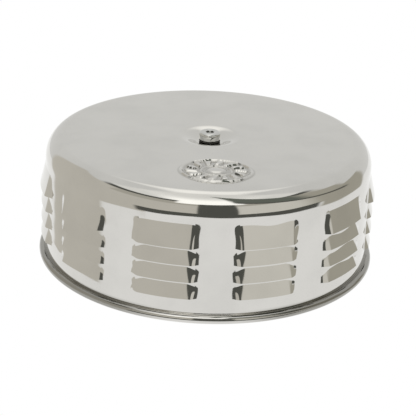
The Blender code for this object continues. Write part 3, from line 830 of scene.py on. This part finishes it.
class CoverSettings(bpy.types.PropertyGroup):
    """Sizes of the cover's pressed shapes, in millimetres."""

    sheet: number("Sheet", "Thickness of the cover's sheet", 0.7)
    hood_reach: number("Hood reach", "How far a lip stands out", 1.6)
    hood_height: number("Hood height", "From a fold down to its lip", 5.3)
    top_hood_extra: number("Top hood", "How much taller the top hood is", 3.2)
    fold_drop: number("Fold drop", "How far a fold falls at its ends", 1.2)
    # Painted dark reflections on the rim's sides, as darker metal.
    painted_rim_reflection: number("Painted rim reflection", "Dull metal on the rim's sides", 0.6)
    # Painted shade in the rosette's hollows, as darker metal.
    emblem_painted_shade: number("Rosette painted shade", "Dull metal in its hollows", 0.3)
    fold_dent: number("Fold dent", "Dent in one top fold", 0.9)
    sway: number("Sway", "How uneven the pressed wall is", 0.035)
    dish_radius: number("Dish radius", "Rim of the dish for the screw", 12.4)
    dish_floor: number("Dish floor", "Radius of the dish's flat floor", 5.1)
    dish_depth: number("Dish depth", "Depth of the dish", 2.3)
    emblem_x: number("Rosette X", "Middle of the rosette, to the right", 2.9)
    emblem_y: number("Rosette Y", "Middle of the rosette, to the rear", -38.4)
    emblem_half_width: number("Rosette half width", "Half its width", 14.0)
    emblem_half_depth: number("Rosette half depth", "Half its depth", 11.5)
    emblem_height: number("Rosette height", "How far it stands up", 0.75)


class ElementSettings(bpy.types.PropertyGroup):
    """What the filter element is made of."""

    pleats: IntProperty(name="Pleats", description="Number of paper folds", default=56, min=12)
    gauze_wires: IntProperty(name="Gauze wires", description="Upright wires round the pleats", default=132)
    gauze_hoops: IntProperty(name="Gauze hoops", description="Level wires round the pleats", default=12)


def tint(name, description, default):
    return FloatVectorProperty(
        name=name, description=description, default=default, subtype="COLOR", size=3, min=0.0, max=1.0
    )


class FinishSettings(bpy.types.PropertyGroup):
    """Base colours of the finishes."""

    cover: tint("Cover", "Polished stainless sheet", (0.655, 0.645, 0.62))
    screw: tint("Screw", "Bright plated steel", (0.60, 0.60, 0.585))
    zinc: tint("Zinc", "Zinc plating", (0.56, 0.57, 0.56))
    cap: tint("End caps", "Tinned sheet", (0.62, 0.62, 0.61))
    liner: tint("Inner tube", "Galvanised sheet", (0.52, 0.53, 0.53))
    wire: tint("Gauze", "Steel wire", (0.46, 0.47, 0.48))
    aluminium: tint("Trumpet", "Spun aluminium", (0.74, 0.74, 0.74))
    rubber: tint("Rubber", "Seals", (0.018, 0.018, 0.018))
    fibre: tint("Fibre", "Flange gasket", (0.25, 0.19, 0.13))
    paper: tint("Paper", "Pleated paper", (0.72, 0.56, 0.27))


class StudioSettings(bpy.types.PropertyGroup):
    """The camera and the light."""

    elevation: number("Elevation", "Camera above the horizon", radians(24.86), subtype="ANGLE")
    distance: number("Distance", "Camera from the axis", 0.4915, subtype="DISTANCE", unit="LENGTH")
    aim_x: number("Aim X", "Where the camera looks", 0.00052, unit="LENGTH")
    aim_z: number("Aim Z", "Where the camera looks", 0.01715, unit="LENGTH")
    roll: number("Roll", "Turn of the camera", radians(2.48), subtype="ANGLE")
    lens: number("Lens", "Focal length on a 36 mm sensor", 104.7)
    floor: tint("Floor", "Light of the white floor", (1.0, 1.0, 0.99))


GROUPS = {
    "cover": CoverSettings,
    "element": ElementSettings,
    "finish": FinishSettings,
    "studio": StudioSettings,
}


class FilterSettings(bpy.types.PropertyGroup):
    """All the settings of the filter."""

    cover: PointerProperty(type=CoverSettings)
    element: PointerProperty(type=ElementSettings)
    finish: PointerProperty(type=FinishSettings)
    studio: PointerProperty(type=StudioSettings)


# ---------------------------------------------------------------- operators


class FILTER_OT_cover(bpy.types.Operator):
    """Build the louvred cover as a wall and a lid that meet on the flat"""

    bl_idname = "air_filter.cover"
    bl_label = "Louvred cover"

    def execute(self, context):
        settings = context.scene.air_filter
        s = settings.cover
        steel = polished_steel("polished_cover_steel", settings.finish.cover)
        for name, surface in (("cover_wall", cover_wall_surface), ("cover_lid", cover_lid_surface)):
            piece = built(name, name, *surface(s))
            thicken(piece, s.sheet)
            finished(piece, "cover", "polished_cover_steel", steel, "louvred_cover", angle=10.5)
        return {"FINISHED"}


class FILTER_OT_cover_screw(bpy.types.Operator):
    """Build the central screw and the washer under its head"""

    bl_idname = "air_filter.cover_screw"
    bl_label = "Cover screw"

    def execute(self, context):
        colours = context.scene.air_filter.finish
        steel = polished_steel("screw_steel", colours.screw)
        screw = built("round_head_screw", "screw", *cover_screw_surface())
        finished(screw, "screw", "screw_steel", steel, "cover_screw", angle=32.0)
        ring = rounded([(4.1, 46.48), (4.1, 45.95), (2.7, 45.95), (2.7, 46.48)], 0.15, 3)
        washer = built("fibre_washer", "washer", *turned(ring, 72))
        fibre = pressed_fibre("washer_fibre", (0.06, 0.057, 0.05))
        finished(washer, "screw_seal", "washer_fibre", fibre, "sealing_washer")
        return {"FINISHED"}


class FILTER_OT_base(bpy.types.Operator):
    """Build the base plate, the inlet trumpet and the flange gasket"""

    bl_idname = "air_filter.base"
    bl_label = "Base plate"

    def execute(self, context):
        colours = context.scene.air_filter.finish
        top = [
            (21.35, 8.0), (24.0, 8.0), (24.6, 7.9), (38.0, 7.9),
            (38.8, 7.6), (53.2, 7.6), (54.0, 7.9), (62.85, 7.9),
        ]
        under = [
            (62.85, 0.06), (61.95, 0.06), (61.95, 7.0), (54.2, 7.0),
            (53.4, 6.75), (38.6, 6.75), (37.8, 7.02),
        ]
        under += [(24.4, 7.02), (23.8, 7.1), (21.35, 7.1)]
        outline = rounded(top + under, 1.6, 6)
        plate = built("flanged_plate", "plate", *turned(outline, 180))
        drill(plate, BOLT_SPOTS, 3.3, 4.0, 11.0)
        drill(plate, RIVET_SPOTS, 1.6, 4.0, 11.0, 24)
        zinc = plated_steel("zinc_plated_steel", colours.zinc, 0.24)
        finished(plate, "base", "zinc_plated_steel", zinc, "base_plate")
        a = np.radians(np.linspace(90, 0, 9))
        outer = np.column_stack([21.0 + 1.6 * (1 - np.cos(a)), 10.4 + 3.0 * np.sin(a)])
        inner = np.column_stack([19.55 + 2.55 * (1 - np.cos(a[::-1])), 10.4 + 3.5 * np.sin(a[::-1])])
        collar = [
            (21.0, 9.3), (22.5, 9.3), (22.5, 8.32), (20.98, 8.3),
            (20.98, 6.68), (22.3, 6.68), (22.3, 6.0), (19.55, 5.95),
        ]
        lips = np.array([(22.35, 13.93)])
        path = np.vstack([outer, rounded(collar, 0.18, 3), inner, lips])
        trumpet = built("spun_trumpet", "trumpet", *turned(path, 160))
        aluminium = lathe_steel("spun_aluminium", colours.aluminium, 0.2)
        finished(trumpet, "base", "spun_aluminium", aluminium, "inlet_trumpet")
        gasket = built("oval_gasket", "gasket", *gasket_surface())
        drill(gasket, BOLT_SPOTS, 3.3, 4.0, 9.0)
        fibre = pressed_fibre("gasket_fibre", colours.fibre)
        finished(gasket, "base", "gasket_fibre", fibre, "flange_gasket")
        return {"FINISHED"}


class FILTER_OT_fixings(bpy.types.Operator):
    """Build the flange bolts with their washers, the bracket, its nut and its rivets"""

    bl_idname = "air_filter.fixings"
    bl_label = "Bracket and fixings"

    def execute(self, context):
        zinc = plated_steel("zinc_plated_steel", context.scene.air_filter.finish.zinc, 0.24)
        for side, spot in zip(("front", "rear"), BOLT_SPOTS):
            disc = rounded([(5.95, 9.48), (5.95, 8.32), (3.35, 8.32), (3.35, 9.48)], 0.2, 3)
            shapes = {
                "bolt": bolt_surface(spot, 10.0, 11.6, 15.55, 1.25, 2.95),
                "washer": turned(disc, 72, spot),
                "spring_washer": spring_washer_surface(spot, 9.8),
            }
            for kind, shape in shapes.items():
                piece = built(f"hex_{kind}_{side}", kind, *shape)
                finished(piece, "base", "zinc_plated_steel", zinc, f"flange_{kind}_{side}", angle=30.0)
        bracket = built("bent_strap", "strap", *bracket_surface())
        drill(bracket, RIVET_SPOTS, 1.6, 4.0, 13.0, 24)
        drill(bracket, [(0.0, 0.0)], 2.85, 40.0, 47.0, 36)
        finished(bracket, "base", "zinc_plated_steel", zinc, "cover_bracket")
        nut = built("weld_nut", "nut", *nut_surface(8.0, 38.75, 42.68, 2.66))
        finished(nut, "base", "zinc_plated_steel", zinc, "bracket_nut", angle=30.0)
        dome = arc((0.0, 9.4), 2.55, 90, 12, 8)
        dome[:, 1] = 10.25 + (dome[:, 1] - dome[-1, 1]) * 1.15 / (dome[0, 1] - dome[-1, 1])
        stem = [(1.5, 10.22), (1.5, 6.68), (2.0, 6.66), (2.05, 6.3), (1.8, 5.86), (0.0, 5.85)]
        rivet = np.vstack([dome, stem])
        for index, spot in enumerate(RIVET_SPOTS, 1):
            piece = built(f"rivet_{index}", "rivet", *turned(rivet, 32, spot, closed=False))
            finished(piece, "base", "zinc_plated_steel", zinc, f"bracket_rivet_{index}")
        return {"FINISHED"}


class FILTER_OT_element(bpy.types.Operator):
    """Build the element: end caps, seals, pleats, perforated tube and wire gauze"""

    bl_idname = "air_filter.element"
    bl_label = "Filter element"

    def execute(self, context):
        settings = context.scene.air_filter
        s, colours = settings.element, settings.finish
        flat = [
            (56.3, 3.0), (56.3, 0.05), (52.2, 0.05), (51.4, 0.3),
            (40.6, 0.3), (39.8, 0.05), (35.5, 0.05), (35.5, 3.0),
        ]
        back = [
            (36.0, 3.0), (36.0, 0.58), (39.6, 0.58), (40.4, 0.85),
            (51.6, 0.85), (52.4, 0.58), (55.75, 0.58), (55.75, 3.0),
        ]
        channel = rounded(flat + back, 0.5, 5)
        cap = lathe_steel("cap_steel", colours.cap, 0.28)
        rubber = matt_rubber("seal_rubber", colours.rubber)
        strip = [
            (52.9, 0.05), (39.1, 0.05), (39.1, 2.45), (43.0, 2.45),
            (44.0, 2.1), (48.0, 2.1), (49.0, 2.45), (52.9, 2.45),
        ]
        section = rounded(strip, 0.5, 5)
        for side, rim, sign, bottom in (("lower", 11.1, 1, 8.3), ("upper", 44.1, -1, 44.4)):
            path = np.column_stack([channel[:, 0], rim + sign * channel[:, 1]])
            piece = built(f"end_cap_{side}", "cap", *turned(path, 200))
            finished(piece, "base", "cap_steel", cap, f"element_{side}_cap")
            path = section + np.array([0.0, bottom])
            piece = built(f"seal_ring_{side}", "seal", *turned(path, 160))
            finished(piece, "base", "seal_rubber", rubber, f"{side}_seal")
        pleats = built("paper_pleats", "pleats", *pleat_surface(s))
        thicken(pleats, 0.45, 0.0)
        paper = filter_paper("filter_paper", colours.paper)
        finished(pleats, "base", "filter_paper", paper, "pleated_paper", angle=60.0)
        cells = perforated_surface(37.1, *ELEMENT_SPAN, 68, 9, 1.15)
        liner = built("perforated_tube", "tube", *cells)
        thicken(liner, 0.55)
        steel = plated_steel("liner_steel", colours.liner, 0.3)
        finished(liner, "base", "liner_steel", steel, "inner_tube")
        cloth = gauze_surface(54.9, *ELEMENT_SPAN, s.gauze_wires, s.gauze_hoops, 0.34)
        gauze = built("wire_gauze", "gauze", *cloth)
        wire = plated_steel("gauze_wire", colours.wire, 0.34)
        finished(gauze, "base", "gauze_wire", wire, "outer_gauze", angle=80.0)
        return {"FINISHED"}


# Light of each zone round the filter, and the radius of the floor in millimetres.
BACKDROP = (0.79, 0.79, 0.775)
WARM_SCREEN = (0.66, 0.635, 0.575)
PALE_SCREEN = (0.77, 0.75, 0.69)
DIM_SCREEN = (0.47, 0.45, 0.385)
HIGH_SCREEN = (0.51, 0.49, 0.43)
GREEN_SHADE = (0.16, 0.175, 0.15)
DARK_GAP = (0.105, 0.107, 0.095)
FLOOR_RADIUS = 78.0
REAR_BOX = (1.28, 1.27, 1.23)
BRIGHT_SKY = (0.95, 0.945, 0.915)
SOFT_BOX = (1.52, 1.51, 1.46)


def studio_light(world, floor):
    """The light round the filter, by direction: x to the right, y to the rear, z up."""
    world.use_nodes = True
    b = Board(world.node_tree)
    direction = b.node("ShaderNodeTexCoord", None, None, output="Generated")
    x, y, z = b.parts_of(direction)
    front = 0 - y
    turn = x.angle_from(front)

    def patched(light, tone, turns, soft, heights, fade):
        """The light with another tone between two turns in degrees and two heights."""
        start, end = map(radians, turns)
        return b.mixed(turn.between(start, end, soft) * z.between(*heights, fade), light, tone)

    box = b.mixed(z.step(0.82, 1.0), SOFT_BOX, BRIGHT_SKY)
    box = b.mixed((x * x).step(0.03, 0.22), box, BRIGHT_SKY)
    light = b.mixed(z.step(-0.11, -0.08), floor, BACKDROP)
    narrow = 1 - (x * x).step(0.006, 0.045)
    light = b.mixed(narrow * z.step(0.46, 0.78), light, REAR_BOX)
    light = b.mixed(z.step(0.92, 0.98), light, BRIGHT_SKY)
    ahead = front.step(-0.20, 0.0) * z.step(-0.11, -0.08)
    screen = b.mixed(turn.step(radians(15), radians(24)), WARM_SCREEN, PALE_SCREEN)
    screen = b.mixed(turn.step(radians(62), radians(86)), screen, DIM_SCREEN)
    screen = b.mixed(turn.step(radians(128), radians(136)), screen, BACKDROP)
    screen = b.mixed(z.step(0.50, 0.56), screen, HIGH_SCREEN)
    screen = b.mixed(z.step(0.69, 0.71), screen, DARK_GAP)
    screen = b.mixed(z.step(0.76, 0.79), screen, box)
    centre = turn.between(radians(-22), radians(28), 0.08)
    screen = b.mixed(centre * z.step(0.61, 0.64), screen, box)
    light = b.mixed(ahead, light, screen)
    light = patched(light, WARM_SCREEN, (-132, -80), 0.10, (-0.62, 0.66), 0.03)
    light = patched(light, DIM_SCREEN, (86, 128), 0.10, (-0.30, 0.30), 0.03)
    slant = z + 0.41 * (turn - 1.08)
    green = turn.between(radians(26), radians(106), 0.12) * slant.between(0.47, 0.82, 0.03)
    shade = b.mixed(turn.step(radians(68), radians(84)), GREEN_SHADE, DIM_SCREEN)
    shade = b.mixed(slant.step(0.50, 0.55), DARK_GAP, shade)
    light = b.mixed(green, light, shade)
    light = patched(light, WARM_SCREEN, (-86, -44), 0.06, (-0.33, -0.09), 0.02)
    light = patched(light, DARK_GAP, (-46, 78), 0.08, (-0.29, -0.07), 0.02)
    light = patched(light, DARK_GAP, (-5, 20), 0.04, (-0.2, 0.62), 0.03)
    seen = b.node("ShaderNodeLightPath", None, None, output="Is Camera Ray")
    light = b.mixed(seen, light, (1.0, 1.0, 1.0))
    shine = b.node("ShaderNodeBackground", None, {"Color": light, "Strength": 1.0})
    b.end("ShaderNodeOutputWorld", shine)


def card(name, corners, light):
    """A flat face with its own light, outside the object, such as the floor."""
    mesh = bpy.data.meshes.new(name)
    points = [tuple(MM * c for c in corner) for corner in corners]
    mesh.from_pydata(points, [], [tuple(range(len(points)))])
    screen = new_object(name, mesh)
    made = bpy.data.materials.new(name)
    made.use_nodes = True
    b = Board(made.node_tree)
    glow = b.node("ShaderNodeEmission", None, {"Color": (*light, 1.0), "Strength": 1.0})
    b.end("ShaderNodeOutputMaterial", glow)
    mesh.materials.append(made)
    return screen


class FILTER_OT_studio(bpy.types.Operator):
    """Set up the white floor, the soft light and the camera"""

    bl_idname = "air_filter.studio"
    bl_label = "Studio"

    def execute(self, context):
        s = context.scene.air_filter.studio
        edge = around(FLOOR_RADIUS, -0.4, np.linspace(0, tau, 96, endpoint=False))
        floor = card("floor", edge.tolist(), s.floor)
        floor.visible_camera = False
        world = bpy.data.worlds.new("studio")
        context.scene.world = world
        studio_light(world, s.floor)
        lens = bpy.data.cameras.new("camera")
        lens.lens = s.lens
        lens.sensor_width = 36.0
        lens.clip_start = 0.01
        lens.clip_end = 20.0
        camera = new_object("camera", lens)
        place = Vector((0.0, -cos(s.elevation), sin(s.elevation))) * s.distance
        aim = Vector((s.aim_x, 0.0, s.aim_z))
        turn = (aim - place).to_track_quat("-Z", "Y").to_matrix().to_4x4()
        camera.matrix_world = Matrix.Translation(place) @ turn @ Matrix.Rotation(s.roll, 4, "Z")
        context.scene.camera = camera
        context.scene.view_settings.view_transform = "Standard"
        return {"FINISHED"}


PARTS = (
    FILTER_OT_cover,
    FILTER_OT_cover_screw,
    FILTER_OT_base,
    FILTER_OT_fixings,
    FILTER_OT_element,
    FILTER_OT_studio,
)


class FILTER_PT_panel(bpy.types.Panel):
    """The settings and the parts, in the 3D view's sidebar"""

    bl_idname = "FILTER_PT_panel"
    bl_label = "Air Filter"
    bl_space_type = "VIEW_3D"
    bl_region_type = "UI"
    bl_category = "Air Filter"

    def draw(self, context):
        settings = context.scene.air_filter
        for group, kind in GROUPS.items():
            box = self.layout.box()
            box.label(text=group.title())
            for name in kind.__annotations__:
                box.prop(getattr(settings, group), name)
        for part in PARTS:
            self.layout.operator(part.bl_idname)


CLASSES = (*GROUPS.values(), FilterSettings, *PARTS, FILTER_PT_panel)


def register():
    for kind in CLASSES:
        bpy.utils.register_class(kind)
    bpy.types.Scene.air_filter = PointerProperty(type=FilterSettings)


def unregister():
    del bpy.types.Scene.air_filter
    for kind in reversed(CLASSES):
        bpy.utils.unregister_class(kind)


def main():
    register()
    for part in PARTS:
        group, name = part.bl_idname.split(".")
        getattr(getattr(bpy.ops, group), name)()


if __name__ == "__main__":
    main()
